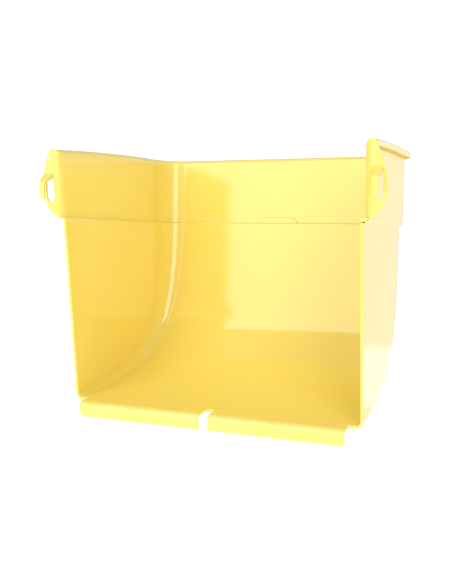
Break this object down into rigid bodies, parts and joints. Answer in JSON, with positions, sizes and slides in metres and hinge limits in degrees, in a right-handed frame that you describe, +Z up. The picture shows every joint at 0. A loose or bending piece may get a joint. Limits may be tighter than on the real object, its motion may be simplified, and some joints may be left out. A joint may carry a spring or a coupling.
{
  "type": "hanging parts bin",
  "caption": "Scoop-shaped plastic parts bin, open at the front and top, with a stepped collar, rolled rim, hooked ears and a notched front lip.",
  "frame": {"origin": "the hang line: midway between the two hooks, on the ears' front plane, level with the tops of their slots", "axes": "+X to the right when facing the open front, +Y towards the closed back, +Z up"},
  "size_m": [0.2848, 0.1969, 0.2269],
  "materials": {
    "yellow_plastic": "glossy moulded plastic"
  },
  "bodies": {
    "root": {"back_panel": "yellow_plastic", "scoop_panel": "yellow_plastic", "floor_panel": "yellow_plastic", "back_collar": "yellow_plastic", "back_rim": "yellow_plastic", "ledge_tab": "yellow_plastic", "left_side_wall": "yellow_plastic", "left_corner": "yellow_plastic", "left_collar": "yellow_plastic", "left_collar_corner": "yellow_plastic", "left_rim": "yellow_plastic", "left_rim_corner": "yellow_plastic", "left_ear": "yellow_plastic", "left_hook": "yellow_plastic", "left_lip": "yellow_plastic", "right_side_wall": "yellow_plastic", "right_corner": "yellow_plastic", "right_collar": "yellow_plastic", "right_collar_corner": "yellow_plastic", "right_rim": "yellow_plastic", "right_rim_corner": "yellow_plastic", "right_ear": "yellow_plastic", "right_hook": "yellow_plastic", "right_lip": "yellow_plastic"}
  },
  "joints": []
}
